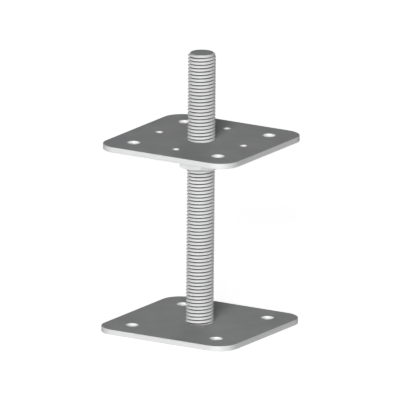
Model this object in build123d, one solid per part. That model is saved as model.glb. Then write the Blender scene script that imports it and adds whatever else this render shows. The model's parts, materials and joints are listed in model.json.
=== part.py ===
from build123d import *
import os
from math import cos, radians, tan

# Adjustable post base, in millimetres. The origin is the middle of the base plate's
# underside, +Z is up, and the plates' sides run along X and Y.

# Both plates are cut from the same sheet to the same outline
plate_side = 110.0
plate_thickness = 4.0
plate_corner_radius = 15.0
bolt_spacing = 70.0            # between neighbouring bolt holes, along X and along Y
bolt_hole_diameter = 9.0       # for M8 anchors below and M8 bolts above
screw_hole_diameter = 5.0      # upper plate only, halfway between the bolt holes

# Threaded rod, drawn at the outer diameter of its thread
rod_diameter = 20.0            # M20
thread_pitch = 2.5
rod_length = 200.0
chamfer_below_thread = 0.15    # the rod's ends are chamfered to just under the thread

# Hexagon nut for the rod
nut_across_flats = 30.0
nut_height = 16.0
nut_face_diameter = 28.5       # flat ring that is left on each face
nut_chamfer_angle = 30.0       # of the turned corners, from the nut's faces
nut_bore_chamfer = 0.8

# Where the upper plate stands: it lies on the nut
plate_gap = 130.0              # clear height between the two plates

# Clearances round the rod, each on the radius
thread_clearance = 0.2         # nut on rod
plate_clearance = 0.5          # the upper plate slides freely along the rod
base_hole_clearance = 0.25     # the rod stands in the base plate before it is welded

# Weld between rod and base plate, on the underside and ground flush
weld_groove = 2.5              # width and depth of the bevel in the plate
weld_cap = 1.5                 # weld under the end of the rod

# Places and sizes that follow
rod_radius = rod_diameter / 2
thread_depth = 0.6134 * thread_pitch
base_hole_radius = rod_radius + base_hole_clearance
top_plate_z = plate_thickness + plate_gap
nut_z = top_plate_z - nut_height


def upright_cylinder(radius, height):
    """A round bar or hole that stands on z = 0."""
    return Cylinder(radius, height, align=(Align.CENTER, Align.CENTER, Align.MIN))


# One blank serves both plates: the outline with its four bolt holes
outline = RectangleRounded(plate_side, plate_side, plate_corner_radius)
bolt_places = GridLocations(bolt_spacing, bolt_spacing, 2, 2)
plate_blank = extrude(outline, plate_thickness)
plate_blank -= bolt_places * upright_cylinder(bolt_hole_diameter / 2, plate_thickness)

# The rod stands in the base plate, short of the underside by the weld's cap
rod = Pos(0, 0, weld_cap) * upright_cylinder(rod_radius, rod_length)
rod_ends = rod.edges().filter_by(GeomType.CIRCLE)
threaded_rod = chamfer(rod_ends, thread_depth + chamfer_below_thread)

# The hole for the rod opens into a bevel on the underside, and the weld fills the bevel
# up to the rod
bevel = extrude(Circle(base_hole_radius + weld_groove), weld_groove, taper=45)
base_plate = plate_blank - upright_cylinder(base_hole_radius, plate_thickness) - bevel
base_weld = bevel - threaded_rod

# Upper plate: four screw holes on the plate's centre lines, and room for the rod
screw_places = PolarLocations(bolt_spacing / 2, 4)
top_plate = plate_blank - screw_places * upright_cylinder(screw_hole_diameter / 2, plate_thickness)
top_plate -= upright_cylinder(rod_radius + plate_clearance, plate_thickness)
top_plate = Pos(0, 0, top_plate_z) * top_plate

# Nut: hexagonal bar with two flats square to Y, its corners turned down to a cone at both
# faces, which leaves the curved edge at the top and bottom of each flat
hexagon = RegularPolygon(nut_across_flats / 2, 6, major_radius=False)
corner_radius = nut_across_flats / 2 / cos(radians(30))
face_radius = nut_face_diameter / 2
turned_height = (corner_radius - face_radius) * tan(radians(nut_chamfer_angle))
turned_profile = Polyline(
    (0, 0),
    (face_radius, 0),
    (corner_radius, turned_height),
    (corner_radius, nut_height - turned_height),
    (face_radius, nut_height),
    (0, nut_height),
    close=True,
)
turned_bar = revolve(Plane.XZ * make_face(turned_profile), Axis.Z)
nut = extrude(hexagon, nut_height) & turned_bar
nut -= upright_cylinder(rod_radius + thread_clearance, nut_height)
bore_edges = nut.edges().filter_by(GeomType.CIRCLE).group_by(SortBy.RADIUS)[0]
adjusting_nut = Pos(0, 0, nut_z) * chamfer(bore_edges, nut_bore_chamfer)

pieces = {
    "base_plate": base_plate,
    "threaded_rod": threaded_rod,
    "base_weld": base_weld,
    "adjusting_nut": adjusting_nut,
    "top_plate": top_plate,
}
os.makedirs("parts", exist_ok=True)
for name, piece in pieces.items():
    export_step(piece, f"parts/{name}.step")
    box = piece.bounding_box()
    print(f"{name}: {piece.volume:.0f} mm3, z {box.min.Z:.2f} to {box.max.Z:.2f} mm")
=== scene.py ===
# %% [markdown]
# # An adjustable post base, dressed for the camera
#
# A post base keeps the foot of a wooden post off the wet ground. This one is a square steel plate
# that is bolted to concrete, a threaded rod that is welded into it, a hexagon nut on the rod and
# a second square plate that lies on the nut and carries the post. Turning the nut raises or lowers
# the post by 2.5 mm a turn.
#
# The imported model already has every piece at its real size. It could be shown as it is, but its
# edges are knife sharp and its threads are plain cylinders. So this script keeps it as a fixed
# frame, measures it, and builds finer pieces in the same places.

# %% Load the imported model
import json
from math import atan2, cos, hypot, pi, radians, sin, tan

import bmesh
import bpy
from mathutils import Matrix, Vector


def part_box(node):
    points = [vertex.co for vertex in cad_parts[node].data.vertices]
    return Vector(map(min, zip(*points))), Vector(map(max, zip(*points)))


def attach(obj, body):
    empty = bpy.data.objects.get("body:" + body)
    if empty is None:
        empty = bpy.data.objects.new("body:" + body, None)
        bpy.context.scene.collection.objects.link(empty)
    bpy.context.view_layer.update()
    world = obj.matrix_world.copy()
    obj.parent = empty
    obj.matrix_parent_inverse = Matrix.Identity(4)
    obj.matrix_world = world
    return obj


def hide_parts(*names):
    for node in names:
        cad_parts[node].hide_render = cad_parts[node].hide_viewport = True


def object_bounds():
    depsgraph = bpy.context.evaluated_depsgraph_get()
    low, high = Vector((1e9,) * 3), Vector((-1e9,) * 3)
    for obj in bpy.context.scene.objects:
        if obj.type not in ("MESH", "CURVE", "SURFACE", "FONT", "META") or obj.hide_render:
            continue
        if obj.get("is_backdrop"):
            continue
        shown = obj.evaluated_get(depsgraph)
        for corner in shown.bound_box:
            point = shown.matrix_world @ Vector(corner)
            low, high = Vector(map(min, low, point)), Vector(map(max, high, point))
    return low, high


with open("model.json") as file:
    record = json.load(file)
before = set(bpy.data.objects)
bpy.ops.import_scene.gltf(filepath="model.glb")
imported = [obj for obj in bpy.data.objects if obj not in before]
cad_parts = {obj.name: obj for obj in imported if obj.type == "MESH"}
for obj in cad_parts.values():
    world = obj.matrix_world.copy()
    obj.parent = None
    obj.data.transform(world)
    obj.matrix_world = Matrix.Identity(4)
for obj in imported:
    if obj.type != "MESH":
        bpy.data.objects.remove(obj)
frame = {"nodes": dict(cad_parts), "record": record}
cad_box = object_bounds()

mm = 0.001
print("nodes:", ", ".join(frame["nodes"]))
print(f"the frame counts in metres, so one millimetre is {mm}")

# %% [markdown]
# ## Sizes
#
# A piece made here has to sit exactly where the solid sits that it stands for. Copying numbers by
# hand would drift apart sooner or later, so heights, lengths and diameters are read from the
# frame's boxes, and the hole patterns from its record. Only what neither of them says is written
# here: corner radii, the thread's form and the clearances round the rod.

# %% Read the sizes
plate_low, plate_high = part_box("base_plate")
top_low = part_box("top_plate")[0]
rod_low, rod_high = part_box("threaded_rod")
nut_low, nut_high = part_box("adjusting_nut")

plate_side = plate_high.x - plate_low.x
plate_thickness = plate_high.z - plate_low.z
plate_corner_radius = 15 * mm

rod_radius = (rod_high.x - rod_low.x) / 2
thread_pitch = 2.5 * mm

nut_across_flats = nut_high.y - nut_low.y

mounts = {mount["name"]: mount for mount in frame["record"]["mounts"]}
bolt_spacing = mounts["post_bolts"]["dims"]["spacing_x_mm"] * mm
bolt_hole_radius = mounts["post_bolts"]["dims"]["hole_r_mm"] * mm
screw_circle = mounts["post_screws"]["dims"]["pcd_mm"] * mm
screw_hole_radius = mounts["post_screws"]["dims"]["hole_r_mm"] * mm
print(f"plates {plate_side / mm:.1f} mm square, {plate_thickness / mm:.1f} mm thick")
print(f"rod {2 * rod_radius / mm:.1f} mm, nut {nut_across_flats / mm:.1f} mm across its flats")

# %% [markdown]
# ## Meshes from points
#
# Every piece here is a set of points that a formula places, joined into faces. One helper turns
# them into an object, and one fixes the shading. Flat-shaded faces would show every facet of a
# round edge, and plain smooth shading would smear the flats, so edges sharper than a given angle
# stay sharp, and the large faces decide which way the normals point.

# %% Helpers for meshes
def new_piece(name, mesh):
    """Puts a mesh into the scene as an object of that name."""
    piece = bpy.data.objects.new(name, mesh)
    bpy.context.scene.collection.objects.link(piece)
    return piece


def mesh_from(name, work):
    """Turns a bmesh into a mesh with its faces looking outward."""
    bmesh.ops.recalc_face_normals(work, faces=work.faces)
    mesh = bpy.data.meshes.new(name)
    work.to_mesh(mesh)
    work.free()
    return mesh


def settle(piece):
    """Replaces a piece's mesh by what its modifiers make of it."""
    graph = bpy.context.evaluated_depsgraph_get()
    done = bpy.data.meshes.new_from_object(piece.evaluated_get(graph))
    piece.modifiers.clear()
    piece.data = done
    return piece


def shade(piece, sharp_angle):
    """Smooth shading, with edges above the angle kept sharp and large flat faces kept flat."""
    piece.data.shade_smooth()
    piece.data.set_sharp_from_angle(angle=radians(sharp_angle))
    weighted = piece.modifiers.new("large faces lead", "WEIGHTED_NORMAL")
    weighted.keep_sharp = True
    return settle(piece)


def report(piece):
    """Prints a piece's size in triangles."""
    triangles = sum(len(face.vertices) - 2 for face in piece.data.polygons)
    print(f"{piece.name}: {triangles} triangles")


print("a piece is made from points, settled, shaded and counted")

# %% [markdown]
# ## Edges of sheet steel
#
# Both plates are cut from 4 mm sheet. A cut edge is never perfectly sharp: deburring and the
# coating leave it rounded by a few tenths of a millimetre, and that narrow strip is what catches
# the light. A bevel modifier could round the edges, but it has to guess at the corners. Here an
# edge is a section instead: a short list of (distance into the metal, height) pairs. The same
# section runs round the outline and round each hole.

# %% Sections of an edge
edge_rounding = 0.3 * mm
rounding_steps = 4


def rounded_edge(height):
    """Section of an edge that is rounded at both faces, from the lower face to the upper one."""
    turns = [step / rounding_steps * pi / 2 for step in range(rounding_steps + 1)]
    lower = [(edge_rounding * (1 - sin(a)), edge_rounding * (1 - cos(a))) for a in turns]
    upper = [(inward, height - z) for inward, z in reversed(lower)]
    return lower + upper


def grooved_edge(height, groove):
    """Section of the hole for the weld: a 45 degree groove below, rounded at the upper face."""
    return [(groove, 0), (0, groove)] + rounded_edge(height)[rounding_steps + 1:]


print(f"an edge has {len(rounded_edge(plate_thickness))} points")

# %% [markdown]
# ## Plates
#
# A plate is its outline and its holes, each with its section swept round it, and two flat faces
# that fill what lies between. Boolean cuts would give the same shape with a tangle of long faces.
# Building the rings directly keeps every edge loop clean, so the rounded strips shade evenly.
#
# The rolled faces, the cut outline and the holes were each made by another machine, and it shows.
# So each face of the mesh notes which of the three it is, and gets that one's finish later.

# %% Loops of a plate
corner_steps = 16
hole_steps = 48


def square_loop(inward):
    """The plate's rounded outline, moved into the metal by a distance."""
    reach = plate_side / 2 - plate_corner_radius
    radius = plate_corner_radius - inward
    points = []
    for quarter in range(4):
        middle = quarter * pi / 2 + pi / 4
        centre = Vector((cos(middle), sin(middle))) * reach / cos(pi / 4)
        for step in range(corner_steps + 1):
            angle = quarter * pi / 2 + step / corner_steps * pi / 2
            points.append(centre + Vector((cos(angle), sin(angle))) * radius)
    return points


def hole_loop(x, y, radius):
    """Gives the function that makes a round hole's loop, moved into the metal by a distance."""
    angles = [step / hole_steps * 2 * pi for step in range(hole_steps)]

    def loop(inward):
        return [Vector((x, y)) + Vector((cos(a), sin(a))) * (radius + inward) for a in angles]
    return loop


print(f"the outline has {len(square_loop(0))} points and each hole {hole_steps}")

# %% Build a plate from its loops
plate_finishes = ("rolled face", "cut edge", "hole")


def ring_of_faces(work, rings, finish=0):
    """Joins closed rings of vertices, each to the next, with four-sided faces."""
    for lower, upper in zip(rings, rings[1:]):
        for i in range(len(lower)):
            face = work.faces.new((lower[i - 1], lower[i], upper[i], upper[i - 1]))
            face.material_index = finish


def edges_of(ring):
    """The edges between a ring's neighbouring vertices."""
    return [edge for a, b in zip(ring, ring[1:] + ring[:1]) for edge in a.link_edges
            if edge.other_vert(a) is b]


def build_plate(name, z, cuts):
    """Makes a plate whose lower face is at height z. A cut is (loop function, section, finish)."""
    work = bmesh.new()
    lower_face, upper_face = [], []
    for loop, section, finish in cuts:
        rings = [[work.verts.new((*point, z + height)) for point in loop(inward)]
                 for inward, height in section]
        ring_of_faces(work, rings, plate_finishes.index(finish))
        lower_face += edges_of(rings[0])
        upper_face += edges_of(rings[-1])
    for rim in (lower_face, upper_face):
        bmesh.ops.triangle_fill(work, use_beauty=True, edges=rim)
    return new_piece(name, mesh_from(name, work))


print("kinds of face on a plate:", ", ".join(plate_finishes))

# %% Both plates
bolt_holes = [(x * bolt_spacing / 2, y * bolt_spacing / 2) for x in (-1, 1) for y in (-1, 1)]
screw_holes = [(x * screw_circle / 2, y * screw_circle / 2)
               for x, y in ((1, 0), (0, 1), (-1, 0), (0, -1))]
weld_fit = 0.25 * mm
sliding_fit = 0.5 * mm
base_hole_radius = rod_radius + weld_fit
top_hole_radius = rod_radius + sliding_fit
weld_groove = 2.5 * mm

plain_edge = rounded_edge(plate_thickness)
outline_and_bolts = [(square_loop, plain_edge, "cut edge")]
outline_and_bolts += [(hole_loop(x, y, bolt_hole_radius), plain_edge, "hole")
                      for x, y in bolt_holes]

base_cuts = outline_and_bolts + [
    (hole_loop(0, 0, base_hole_radius), grooved_edge(plate_thickness, weld_groove), "hole")]
top_cuts = outline_and_bolts + [(hole_loop(0, 0, top_hole_radius), plain_edge, "hole")]
top_cuts += [(hole_loop(x, y, screw_hole_radius), plain_edge, "hole") for x, y in screw_holes]

plate_sharp_angle = 40
base_plate = shade(build_plate("lower_plate", plate_low.z, base_cuts), plate_sharp_angle)
top_plate = shade(build_plate("upper_plate", top_low.z, top_cuts), plate_sharp_angle)
report(base_plate)
report(top_plate)

# %% [markdown]
# ## The thread
#
# The rod's thread is the standard coarse one for 20 mm: 60 degree flanks, a lead of 2.5 mm and
# rounded roots. The standard cuts the crests off flat, but this thread is rolled: steel flows up
# between the dies from both sides, and leaves a round crest that fits between the flanks.
#
# A displacement texture or stacked rings would look similar from afar, but rings don't climb, and
# this thread has to fit a nut. So one tooth is drawn from the standard's formulas, and the Screw
# modifier winds it round the axis, rising one pitch a turn. That makes a right-hand thread. The
# fractions below are the standard's. They count in pitches, or in the height that the flanks would
# reach if they ran on to sharp points.
#
# Where along the bar the first crest lies is chance on a real one. Here it is chosen so that the
# turns at the front of the rod lie where the photograph has them.

# %% One tooth of the thread
flank_angle = radians(30)
sharp_height = thread_pitch * cos(flank_angle)
thread_depth = 17 / 24 * sharp_height
crest_angles = (0, 30, 60)
root_angles = (-60, -20, 20, 60)


def tooth_profile():
    """One pitch of the thread as (depth below the crest, height) points, from crest to crest."""
    half_crest = thread_pitch / 16
    turned_by = pi / 2 - flank_angle
    crest_radius = half_crest / (sin(turned_by) - tan(flank_angle) * (1 - cos(turned_by)))
    crest_end = [(crest_radius * (1 - cos(radians(a))), crest_radius * sin(radians(a)))
                 for a in crest_angles]
    root_radius = sharp_height / 6
    root_centre = thread_depth - root_radius
    root = [(root_centre + root_radius * cos(radians(a)),
             thread_pitch / 2 + root_radius * sin(radians(a))) for a in root_angles]
    crest_start = [(depth, thread_pitch - z) for depth, z in reversed(crest_end[1:])]
    return crest_end + root + crest_start


print(f"thread depth {thread_depth / mm:.3f} mm, {len(tooth_profile())} points a pitch")

# %% Close a wound thread
seam = 0.001 * mm


def close_ends(mesh):
    """Joins the turns of a wound thread to each other and closes both ends to the axis."""
    work = bmesh.new()
    work.from_mesh(mesh)
    bmesh.ops.remove_doubles(work, verts=work.verts, dist=seam)
    open_edges = [edge for edge in work.edges if edge.is_boundary]
    heights = [vert.co.z for edge in open_edges for vert in edge.verts]
    middle = (min(heights) + max(heights)) / 2
    for end, z in ((-1, min(heights)), (1, max(heights))):
        centre = work.verts.new((0, 0, z))
        for edge in open_edges:
            if (edge.verts[0].co.z - middle) * end > 0:
                work.faces.new((*edge.verts, centre))
    bmesh.ops.recalc_face_normals(work, faces=work.faces)
    work.to_mesh(mesh)
    work.free()


print(f"where two turns meet, points less than {seam / mm:.3f} mm apart become one")

# %% Wind the tooth into a bar
thread_steps = 72
first_crest = 0.27 * thread_pitch
spare_turns = 2


def threaded_bar(name, radius, low, high):
    """A closed bar with a thread of that outer radius, covering the heights low to high. Crests
    cross the X axis at whole pitches above the first one, so bars of any length are in step."""
    first_turn = int(low // thread_pitch) - spare_turns
    turns = int(high // thread_pitch) + spare_turns - first_turn
    start = first_turn * thread_pitch + first_crest
    points = [(radius - depth, 0, start + z) for depth, z in tooth_profile()]
    points.append((points[0][0], 0, points[0][2] + thread_pitch))
    mesh = bpy.data.meshes.new(name)
    mesh.from_pydata(points, [(i, i + 1) for i in range(len(points) - 1)], [])
    bar = new_piece(name, mesh)
    winding = bar.modifiers.new("winding", "SCREW")
    winding.steps = winding.render_steps = thread_steps
    winding.iterations = turns
    winding.screw_offset = thread_pitch
    settle(bar)
    close_ends(bar.data)
    return bar


print(f"a turn has {thread_steps} steps and rises {thread_pitch / mm:.1f} mm")

# %% [markdown]
# ## The rod
#
# The rod is cut from a long threaded bar and its ends are chamfered, so that a nut starts easily.
# The same order works here: the wound bar is longer than the rod, and what a turned blank with
# chamfered ends doesn't hold is cut away. The chamfer then crosses the thread as it does in steel,
# with a last half turn that fades out. A cut leaves slivers where two surfaces cross at a shallow
# angle, so they are merged afterwards, and the mesh stays closed. Like the plates' faces, each
# face notes how it was made.

# %% Turn a blank
turned_steps = 96


def turned(name, section):
    """A solid of revolution from (radius, height) points, the first and last on the axis."""
    work = bmesh.new()
    angles = [step / turned_steps * 2 * pi for step in range(turned_steps)]
    rings = [[work.verts.new((r * cos(a), r * sin(a), z)) for a in angles]
             for r, z in section[1:-1]]
    ring_of_faces(work, rings)
    for ring, end in ((rings[0], section[0]), (rings[-1], section[-1])):
        centre = work.verts.new((0, 0, end[1]))
        for i in range(turned_steps):
            work.faces.new((ring[i - 1], ring[i], centre))
    return new_piece(name, mesh_from(name, work))


print(f"a turned piece has {turned_steps} sides")

# %% Cut a piece with another
sliver = 0.004 * mm


def clear_slivers(mesh):
    """Merges what a cut leaves less than a few thousandths of a millimetre apart."""
    work = bmesh.new()
    work.from_mesh(mesh)
    bmesh.ops.remove_doubles(work, verts=work.verts, dist=sliver)
    bmesh.ops.dissolve_degenerate(work, edges=work.edges, dist=sliver)
    many_sided = [face for face in work.faces if len(face.verts) > 4]
    bmesh.ops.triangulate(work, faces=many_sided)
    work.to_mesh(mesh)
    work.free()


def cut(piece, tool, how):
    """Applies a boolean cut and removes the tool."""
    boolean = piece.modifiers.new("cut", "BOOLEAN")
    boolean.operation = how
    boolean.solver = "EXACT"
    boolean.object = tool
    settle(piece)
    clear_slivers(piece.data)
    bpy.data.objects.remove(tool)
    return piece


print(f"after a cut, points less than {sliver / mm:.3f} mm apart become one")

# %% The rod
chamfer_below_thread = 0.15 * mm
rod_chamfer = thread_depth + chamfer_below_thread
spare = 0.5 * mm
thread_sharp_angle = 35

rod = threaded_bar("rod", rod_radius, rod_low.z, rod_high.z)
end_radius = rod_radius - rod_chamfer
blank_section = [
    (0, rod_low.z),
    (end_radius, rod_low.z),
    (rod_radius + spare, rod_low.z + rod_chamfer + spare),
    (rod_radius + spare, rod_high.z - rod_chamfer - spare),
    (end_radius, rod_high.z),
    (0, rod_high.z),
]
cut(rod, turned("rod blank", blank_section), "INTERSECT")
report(rod)

# %% How each face of the rod was made
rod_finishes = ("thread", "sawn end", "chamfer")
near = 0.05 * mm


def rod_finish(face):
    """Tells from where a face lies which of the rod's finishes it gets."""
    x, y, z = face.center
    from_end = min(z - rod_low.z, rod_high.z - z)
    if from_end < near:
        return "sawn end"
    return "chamfer" if hypot(x, y) > end_radius + from_end - near else "thread"


for face in rod.data.polygons:
    face.material_index = rod_finishes.index(rod_finish(face))
shade(rod, thread_sharp_angle)
print("kinds of face on the rod:", ", ".join(rod_finishes))

# %% [markdown]
# ## The nut
#
# A nut starts as hexagonal bar. Its corners are turned down to a 30 degree cone at both faces,
# which leaves the curved edge at the top and bottom of every flat. The flats could be cut with a
# boolean, but the cone's height at any point follows from how far that point is from the axis, so
# the rings can be placed directly. Then the hole is tapped, with a thread a little larger than the
# rod's, in step with it, as a loose nut would sit.

# %% The nut's outline
nut_corner_rounding = 0.5 * mm
flat_steps = 14
corner_arc_steps = 4


def hexagon_loop():
    """The hexagon with two flats square to Y and its corners slightly rounded."""
    points = []
    reach = (nut_across_flats / 2 - nut_corner_rounding) / cos(pi / 6)
    for corner in range(6):
        middle = corner * pi / 3
        centre = Vector((cos(middle), sin(middle))) * reach
        for step in range(corner_arc_steps + 1):
            angle = middle + (step / corner_arc_steps - 0.5) * pi / 3
            points.append(centre + Vector((cos(angle), sin(angle))) * nut_corner_rounding)
        end = middle + pi / 6
        next_middle = middle + pi / 3
        next_centre = Vector((cos(next_middle), sin(next_middle))) * reach
        outward = Vector((cos(end), sin(end))) * nut_corner_rounding
        for step in range(1, flat_steps):
            points.append(centre.lerp(next_centre, step / flat_steps) + outward)
    return points


across_corners = 2 * max(point.length for point in hexagon_loop())
print(f"the hexagon is {across_corners / mm:.1f} mm across its corners")

# %% The nut's faces, cones and bore
nut_face_radius = 14.25 * mm
nut_chamfer_angle = radians(30)
thread_clearance = 0.2 * mm
bore_chamfer = 0.8 * mm
nut_thread_depth = 5 / 8 * sharp_height

bore_radius = rod_radius - nut_thread_depth
bore_mouth_radius = rod_radius + thread_clearance + bore_chamfer


def nut_rings(work):
    """Rings of vertices from the bore over the lower face, up the flats and back to the bore."""
    outline = hexagon_loop()
    around = [atan2(p.y, p.x) for p in outline]

    def circle(radius, z):
        return [work.verts.new((radius * cos(a), radius * sin(a), z)) for a in around]

    def ends_of_flats(side, z):
        slope = side * tan(nut_chamfer_angle)
        return [work.verts.new((p.x, p.y, z + slope * (p.length - nut_face_radius)))
                for p in outline]

    mouth_depth = bore_mouth_radius - bore_radius
    return [
        circle(bore_radius, nut_low.z + mouth_depth),
        circle(bore_mouth_radius, nut_low.z),
        circle(nut_face_radius, nut_low.z),
        ends_of_flats(1, nut_low.z),
        ends_of_flats(-1, nut_high.z),
        circle(nut_face_radius, nut_high.z),
        circle(bore_mouth_radius, nut_high.z),
        circle(bore_radius, nut_high.z - mouth_depth),
    ]


print(f"the bore is {2 * bore_radius / mm:.2f} mm wide before it is tapped")

# %% The nut
nut_edge_rounding = 0.2 * mm
nut_edge_steps = 2
rounded_from_angle = radians(25)

nut_work = bmesh.new()
rings = nut_rings(nut_work)
ring_of_faces(nut_work, rings + rings[:1])
nut = new_piece("nut", mesh_from("nut", nut_work))
rounding = nut.modifiers.new("rounded edges", "BEVEL")
rounding.width = nut_edge_rounding
rounding.segments = nut_edge_steps
rounding.limit_method = "ANGLE"
rounding.angle_limit = rounded_from_angle
settle(nut)
tap = threaded_bar("tap", rod_radius + thread_clearance, nut_low.z, nut_high.z)
cut(nut, tap, "DIFFERENCE")
shade(nut, thread_sharp_angle)
report(nut)

# %% [markdown]
# ## Colours and nodes
#
# Colours are written as sRGB hex, the way a paint chart or a picture gives them, and one function
# turns them into the linear values that the shader counts in. One more helper adds a shader node,
# with its settings and with links for those inputs that another node feeds.

# %% Helpers for materials
def linear(colour):
    """An sRGB hex colour as the linear values that Blender's shaders use."""
    channels = [int(colour[i:i + 2], 16) / 255 for i in (1, 3, 5)]
    return (*[c / 12.92 if c <= 0.04045 else ((c + 0.055) / 1.055) ** 2.4 for c in channels], 1)


def add_node(tree, kind, inputs=None, **settings):
    """Adds a shader node. An input is a value, or another node's output that feeds it."""
    node = tree.nodes.new(kind)
    for name, value in settings.items():
        setattr(node, name, value)
    for name, value in (inputs or {}).items():
        if isinstance(value, bpy.types.NodeSocket):
            tree.links.new(value, node.inputs[name])
        else:
            node.inputs[name].default_value = value
    return node


def new_material(name):
    """An empty material and its node tree."""
    material = bpy.data.materials.new(name)
    material.use_nodes = True
    material.node_tree.nodes.clear()
    return material, material.node_tree


print(f"the middle grey #808080 is {linear('#808080')[0]:.3f} in the shader")

# %% [markdown]
# ## A zinc coating
#
# Every piece is mild steel with a few thousandths of a millimetre of zinc on it. Zinc is a metal,
# but a plated surface this thin and dull scatters most of its light: it looks like pale grey
# chalk with a weak, wide shine. So the shader starts from a metal's values, is then made mostly
# non-metallic and rough, and keeps just enough metal for the shine. What tells it from grey paint
# is that it isn't even: the coating is slightly cloudy over a centimetre or so, in colour and in
# gloss. Noise makes both, from the same clouds.
#
# The coating is far too thin to hide what the tools did to the steel under it: rolling grain,
# saw marks, drilling marks. They are too fine to model, so they are a bump from a second noise,
# stretched along the marks. Real ones are a few hundredths of a millimetre wide. At that size
# they would be lost between the picture's points, so they are drawn about ten times coarser.

# %% The coating
zinc_metallic = 0.12
cloud_detail = 5.0
cloud_roughness = 0.6
mark_detail = 2.0


def zinc_coating(name, shades, roughness, cloud_size, marks, depth):
    """Zinc over worked steel. The clouds run between two shades and two values of roughness. The
    marks are the sizes along X, Y and Z that a tool left, and depth is how deep they are."""
    material, tree = new_material(name)
    place = add_node(tree, "ShaderNodeTexCoord").outputs["Object"]
    clouds = add_node(tree, "ShaderNodeTexNoise", {
        "Vector": place, "Scale": 1 / cloud_size, "Detail": cloud_detail,
        "Roughness": cloud_roughness}).outputs["Fac"]
    colour = add_node(tree, "ShaderNodeMix", {
        "Factor": clouds, "A": linear(shades[0]), "B": linear(shades[1])}, data_type="RGBA")
    gloss = add_node(tree, "ShaderNodeMapRange", {
        "Value": clouds, "To Min": roughness[0], "To Max": roughness[1]})
    stretched = add_node(tree, "ShaderNodeMapping", {
        "Vector": place, "Scale": [1 / size for size in marks]})
    height = add_node(tree, "ShaderNodeTexNoise", {
        "Vector": stretched.outputs["Vector"], "Scale": 1.0, "Detail": mark_detail})
    bump = add_node(tree, "ShaderNodeBump", {
        "Height": height.outputs["Fac"], "Distance": depth, "Strength": 1.0})
    shader = add_node(tree, "ShaderNodeBsdfPrincipled", {
        "Base Color": colour.outputs["Result"], "Roughness": gloss.outputs["Result"],
        "Metallic": zinc_metallic, "Normal": bump.outputs["Normal"]})
    add_node(tree, "ShaderNodeOutputMaterial", {"Surface": shader.outputs["BSDF"]})
    return material


print(f"zinc: {zinc_metallic:.0%} of it shines as a metal")

# %% [markdown]
# ## Rolled sheet, its cut edges and its holes
#
# The plates' faces come from the rolling mill: dull, with a fine grain all in one direction. Their
# edges come from the cutting machine, which leaves upright streaks. The drill leaves rings, and a
# smooth wall. The three are coloured apart, the faces darker and the edges and hole walls paler.
# That is partly the machining, and partly painted shade on the tops and painted light on the edges
# and in the holes.
#
# One material could switch between the three by the direction of the surface. Three materials are
# easier to read and to change, and the plates' faces already note where each belongs.

# %% Zinc on the plates
def zinc_on_rolled_face():
    """Dull zinc with the sheet's rolling grain along X, its shades darkened as painted shade."""
    grain = (9 * mm, 0.5 * mm, 0.5 * mm)
    return zinc_coating("zinc on rolled sheet", shades=("#ABADAF", "#CACACA"),
                        roughness=(0.54, 0.76), cloud_size=16 * mm,
                        marks=grain, depth=0.02 * mm)


def zinc_on_cut_edge():
    """Zinc with the cut's upright streaks, in shades partly paled as painted light."""
    streaks = (0.6 * mm, 0.6 * mm, 12 * mm)
    return zinc_coating("zinc on cut edge", shades=("#D6D7D7", "#DFDFDF"),
                        roughness=(0.55, 0.68), cloud_size=10 * mm,
                        marks=streaks, depth=0.03 * mm)


def zinc_in_hole():
    """Bright zinc with the drill's level rings; the brightness is partly painted light."""
    rings = (8 * mm, 8 * mm, 0.4 * mm)
    return zinc_coating("zinc in drilled hole", shades=("#F0F0F0", "#F6F6F6"),
                        roughness=(0.42, 0.52), cloud_size=6 * mm,
                        marks=rings, depth=0.008 * mm)


plate_materials = [zinc_on_rolled_face(), zinc_on_cut_edge(), zinc_in_hole()]
print("plates:", ", ".join(material.name for material in plate_materials))

# %% [markdown]
# ## The thread, with painted shade in its grooves
#
# Each turn is coloured pale on top and at its crest, and dark at its root and below, which makes
# the turns stand apart from a step away. The dark colour is painted shade: it stands for the shade
# that falls deep in the grooves and on the lower flanks, which look down, away from the light.
#
# Two numbers find where the painted shade goes: the distance from the axis says how deep a point
# lies, and the normal's height, from -1 for a face that looks down to 1 for one that looks up,
# says which flank it is.
#
# The coat itself is matt and a little grainy, so it is rougher than on the plates. With less
# roughness the upper flanks would mirror a lamp behind the rod, all at once, as a white stripe
# down its side. In return a little more of it is metal, because the nut burnishes it.

# %% Where the thread gets painted shade
# Where the painted shade in the thread's roots and on its lower flanks begins and ends.
painted_shade_radius = rod_radius - 0.97 * thread_depth
unshaded_radius = rod_radius - 0.9 * thread_depth
painted_shade_normal = -0.8
unshaded_normal = -0.35


def unshaded_part_of_thread(tree):
    """Adds nodes that give 1 at crests and upper flanks, and 0 in roots and on lower flanks, where
    the thread is painted with shade.
    """
    geometry = add_node(tree, "ShaderNodeNewGeometry").outputs
    flat = add_node(tree, "ShaderNodeVectorMath", {
        0: geometry["Position"], 1: (1, 1, 0)}, operation="MULTIPLY")
    radius = add_node(tree, "ShaderNodeVectorMath", {0: flat.outputs["Vector"]},
                      operation="LENGTH")
    out_of_root = add_node(tree, "ShaderNodeMapRange", {
        "Value": radius.outputs["Value"], "From Min": painted_shade_radius, "From Max": unshaded_radius})
    upright = add_node(tree, "ShaderNodeSeparateXYZ", {"Vector": geometry["Normal"]})
    looks_up = add_node(tree, "ShaderNodeMapRange", {
        "Value": upright.outputs["Z"], "From Min": painted_shade_normal, "From Max": unshaded_normal})
    unshaded_factor = add_node(tree, "ShaderNodeMath", {
        0: out_of_root.outputs["Result"], 1: looks_up.outputs["Result"]}, operation="MINIMUM")
    return unshaded_factor.outputs[0]


print(f"the thread is dull inside a radius of {painted_shade_radius / mm:.2f} mm")

# %% Zinc on the thread
thread_metallic = 0.2
# Colour of the painted shade in the thread's roots and on its lower flanks.
painted_groove_shade = "#505050"


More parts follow.
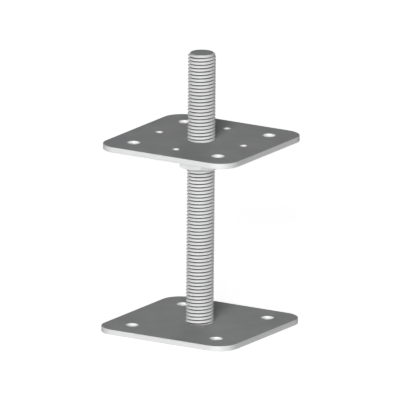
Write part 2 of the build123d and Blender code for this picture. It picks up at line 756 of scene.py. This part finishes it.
def zinc_on_thread():
    """Zinc on the rod: matt, in pale shades that are partly painted light, with painted shade in
    its roots and on its lower flanks.
    """
    roll_marks = (3 * mm, 3 * mm, 0.3 * mm)
    # Shades paler than the plates' zinc, partly painted light.
    material = zinc_coating("zinc on rolled thread", shades=("#F1F2F2", "#FAFAFA"),
                            roughness=(0.71, 0.83), cloud_size=7 * mm,
                            marks=roll_marks, depth=0.003 * mm)
    tree = material.node_tree
    shader = tree.nodes["Principled BSDF"]
    shader.inputs["Metallic"].default_value = thread_metallic
    base_colour = shader.inputs["Base Color"]
    shaded = add_node(tree, "ShaderNodeMix", {
        "Factor": unshaded_part_of_thread(tree), "A": linear(painted_groove_shade),
        "B": base_colour.links[0].from_socket}, data_type="RGBA")
    tree.links.new(shaded.outputs["Result"], base_colour)
    return material


thread_zinc = zinc_on_thread()
print(f"{thread_zinc.name}: {thread_metallic:.0%} of it shines as a metal")

# %% [markdown]
# ## Sawn ends, chamfers, nut and weld
#
# The bar is sawn to length before it is plated, and the ends keep the saw's strokes under a dull
# coating. The chamfer is turned on a lathe, so it is smoother. The nut is pressed to shape from
# wire and tumbled in a drum with others, which leaves it smooth, with shallow dents. The sawn ends
# are coloured darker, as painted shade on faces that look up. The chamfer is coloured paler,
# partly as painted light, and the nut paler still, as painted light against the plate's shadow.
#
# The rod is welded in from below, in a groove, so that nothing is in the nut's way above. The weld
# is ground down to the plate, or the base couldn't lie flat on the concrete. The strokes of the
# grinder are all that shows of it.

# %% Zinc on the rod's ends
def zinc_on_sawn_end():
    """Dull zinc with the saw's strokes across the end, darkened as painted shade."""
    strokes = (0.45 * mm, 7 * mm, 3 * mm)
    return zinc_coating("zinc on sawn end", shades=("#B3B4B5", "#C0C1C2"),
                        roughness=(0.58, 0.7), cloud_size=5 * mm,
                        marks=strokes, depth=0.015 * mm)


def zinc_on_chamfer():
    """Bright zinc with the turning tool's level rings; the brightness is partly painted light."""
    rings = (6 * mm, 6 * mm, 0.3 * mm)
    return zinc_coating("zinc on turned chamfer", shades=("#E6E7E7", "#F0F0F0"),
                        roughness=(0.5, 0.6), cloud_size=5 * mm,
                        marks=rings, depth=0.005 * mm)


sawn_zinc = zinc_on_sawn_end()
turned_zinc = zinc_on_chamfer()
print("the rod's ends:", sawn_zinc.name, "and", turned_zinc.name)

# %% Zinc on the nut and the weld
def zinc_on_nut():
    """Zinc on the cold-formed nut, smooth, with the tiny dents of the tumbling drum, paled as
    painted light against the plate's shadow.
    """
    dents = (1.2 * mm, 1.2 * mm, 1.2 * mm)
    return zinc_coating("zinc on cold-formed nut", shades=("#EFF0F0", "#F7F7F7"),
                        roughness=(0.5, 0.62), cloud_size=9 * mm,
                        marks=dents, depth=0.012 * mm)


def zinc_on_weld():
    """Zinc over the weld, with the strokes of the grinder that took it down to the plate."""
    strokes = (0.5 * mm, 6 * mm, 3 * mm)
    return zinc_coating("zinc on ground weld", shades=("#CFCFCF", "#DFDFDF"),
                        roughness=(0.5, 0.62), cloud_size=5 * mm,
                        marks=strokes, depth=0.02 * mm)


nut_zinc = zinc_on_nut()
weld_zinc = zinc_on_weld()
print("small pieces:", nut_zinc.name, "and", weld_zinc.name)

# %% [markdown]
# ## Putting the finishes on
#
# A piece has one slot a finish, in the order of the numbers that its faces note. The weld has no
# finer twin: flat and ground as it is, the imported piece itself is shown.

# %% Put the finishes on
finishes = {
    base_plate: plate_materials,
    top_plate: plate_materials,
    rod: [thread_zinc, sawn_zinc, turned_zinc],
    nut: [nut_zinc],
    frame["nodes"]["base_weld"]: [weld_zinc],
}
for piece, materials in finishes.items():
    slots = piece.data.materials
    for i, material in enumerate(materials):
        if i < len(slots):
            slots[i] = material
        else:
            slots.append(material)
    counts = [0] * len(materials)
    for face in piece.data.polygons:
        counts[face.material_index] += 1
    print(f"{piece.name}:", ", ".join(f"{count} faces of {material.name}"
                                      for count, material in zip(counts, materials)))

# %% [markdown]
# ## Joining the pieces to the frame
#
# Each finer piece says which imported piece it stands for, and with which body it moves. The plate
# rides up and down, the nut turns under it, and the rod stays with the base. The boxes that the
# finer pieces fill are the same as before, because they were built from them.

# %% Join the pieces to the frame
dressed = [
    (base_plate, "base_plate", "base", "plate_steel"),
    (top_plate, "top_plate", "top_plate", "plate_steel"),
    (rod, "threaded_rod", "base", "rod_steel"),
    (nut, "adjusting_nut", "nut", "nut_steel"),
]
for piece, node, body, slot in dressed:
    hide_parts(node)
    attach(piece, body)
    print(f"{piece.name} shows {node} and moves with {body}")

# %% [markdown]
# ## A sheet of paper to stand on
#
# A catalogue picture of hardware stands on a white ground without end. In a studio that is a wide
# sheet of paper, curved up at the far side. Here it is a round floor with a rim, so it works from
# every side.
#
# The paper must look white, but white paper would throw a lot of light back at the object from
# below. So it is a paler grey than it looks, and only for the camera and for reflections it glows
# enough to come out white. Where the object keeps the light off it, it stays a shade darker. It
# lies two hundredths of a millimetre low, so that it and the plate's underside don't flicker.

# %% The floor's shape
floor_radius = 8.0
floor_drop = 0.02 * mm
rim_height = 0.4
rim_steps = 8
around_steps = 96
inner_radius = 0.3

floor_angles = [step / around_steps * 2 * pi for step in range(around_steps)]
floor_section = [(inner_radius, 0), (floor_radius, 0)]
for step in range(1, rim_steps + 1):
    a = step / rim_steps * pi / 2
    floor_section.append((floor_radius + rim_height * sin(a), rim_height * (1 - cos(a))))

floor_work = bmesh.new()
floor_rings = [[floor_work.verts.new((r * cos(a), r * sin(a), z)) for a in floor_angles]
               for r, z in floor_section]
ring_of_faces(floor_work, floor_rings)
floor_work.faces.new(floor_rings[0])
floor = new_piece("floor", mesh_from("floor", floor_work))
floor.location.z = -floor_drop
floor.data.shade_smooth()
floor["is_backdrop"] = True
print(f"floor {2 * floor_radius:.0f} m across")

# %% The paper
paper_grey = linear("#B8B8B8")
paper_glow = 0.86

paper_material, tree = new_material("white paper")
rays = add_node(tree, "ShaderNodeLightPath").outputs
direct = add_node(tree, "ShaderNodeMath", {
    0: rays["Is Camera Ray"], 1: rays["Is Glossy Ray"]}, operation="MAXIMUM")
seen = add_node(tree, "ShaderNodeMath", {
    0: direct.outputs[0], 1: rays["Is Transmission Ray"]}, operation="MAXIMUM")
glow = add_node(tree, "ShaderNodeMath", {0: seen.outputs[0], 1: paper_glow},
                operation="MULTIPLY")
paper = add_node(tree, "ShaderNodeBsdfDiffuse", {"Color": paper_grey})
white = add_node(tree, "ShaderNodeEmission", {"Strength": glow.outputs[0]})
both = add_node(tree, "ShaderNodeAddShader", {0: paper.outputs[0], 1: white.outputs[0]})
add_node(tree, "ShaderNodeOutputMaterial", {"Surface": both.outputs[0]})
floor.data.materials.append(paper_material)
print(f"{paper_material.name}: glows at {paper_glow} for the camera and for reflections")

# %% [markdown]
# ## Light
#
# In the photograph every face is as bright as it is turned to the camera: the front edges and the
# nut are almost white, the side edges grey and the tops of the plates, seen at a low angle, dark.
# That is the light of one large lamp close to the camera, a little to its left. It is a sun lamp
# here, because its light is equally strong at the top and at the foot of the object, and its wide
# angle gives the soft shadow edges of a softbox.
#
# The room behind is almost dark. A second, weaker sheet of light, low at the back, keeps the far
# side of the object from going black when it is seen from there. It leaves no shine, since at this
# low angle its reflection would lie over the tops of the plates like a veil.

# %% Lamps
def direction(azimuth, elevation):
    """The way from the object to a lamp or camera. At azimuth 0 it stands in front, at -Y."""
    a, e = radians(azimuth), radians(elevation)
    return Vector((sin(a) * cos(e), -cos(a) * cos(e), sin(e)))


def sun(name, azimuth, elevation, strength, spread):
    """A sun lamp. At strength 1 it shows a white face that looks at it as white."""
    light = bpy.data.lights.new(name, "SUN")
    light.energy = strength * pi
    light.angle = radians(spread)
    lamp = bpy.data.objects.new(name, light)
    bpy.context.scene.collection.objects.link(lamp)
    lamp.rotation_mode = "QUATERNION"
    lamp.rotation_quaternion = direction(azimuth, elevation).to_track_quat("Z", "Y")
    return lamp


key = sun("key softbox", azimuth=22.5, elevation=13.5, strength=1.15, spread=28)
fill = sun("low back sheet", azimuth=202, elevation=6, strength=0.75, spread=30)
fill.visible_glossy = False
print("lamps:", key.name, "and", fill.name)

# %% The room
room_light = 0.02
world = bpy.data.worlds.new("dim room")
world.use_nodes = True
room = world.node_tree.nodes["Background"].inputs
room["Color"].default_value = linear("#FFFFFF")
room["Strength"].default_value = room_light
bpy.context.scene.world = world
print(f"{world.name}: {room_light:.0%} of white from all around")

# %% [markdown]
# ## Camera
#
# The plates' parallel edges stay parallel in the photograph, and the upper plate is drawn exactly
# as large as the lower one. So the camera has no perspective, like a drawing. What remains is the
# direction, the width of the picture and a small roll. They follow from where the plates' holes
# and corners appear: the holes' square looks narrow one way by the azimuth and flat by the
# elevation, and its known size in millimetres gives the scale.

# %% Camera
view_azimuth = 31.16
view_elevation = 14.64
view_roll = radians(0.53)
frame_width = 284.4 * mm
axis_height = 93.1 * mm
axis_offset = 0.51 * mm
distance = 1.0

back = direction(view_azimuth, view_elevation)
right = Vector((cos(radians(view_azimuth)), sin(radians(view_azimuth)), 0))
up = back.cross(right)
lens = bpy.data.cameras.new("camera")
lens.type = "ORTHO"
lens.ortho_scale = frame_width
camera = bpy.data.objects.new("camera", lens)
bpy.context.scene.collection.objects.link(camera)
turn = Matrix((right, up, back)).transposed().to_4x4() @ Matrix.Rotation(view_roll, 4, "Z")
place = Vector((0, 0, axis_height)) - right * axis_offset + back * distance
camera.matrix_world = Matrix.Translation(place) @ turn
bpy.context.scene.camera = camera
print(f"the picture is {frame_width / mm:.1f} mm wide")

# %% [markdown]
# ## Check and finish
#
# The Standard view transform shows colours as they are worked out, without a film look on top.
# The last step compares the dressed pieces' box with the imported model's.

# %% Finish
bpy.context.scene.view_settings.view_transform = "Standard"
dressed_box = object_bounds()
gaps = [(a - b).length for a, b in zip(cad_box, dressed_box)]
print(f"the boxes' corners differ by {max(gaps) / mm:.3f} mm at most")
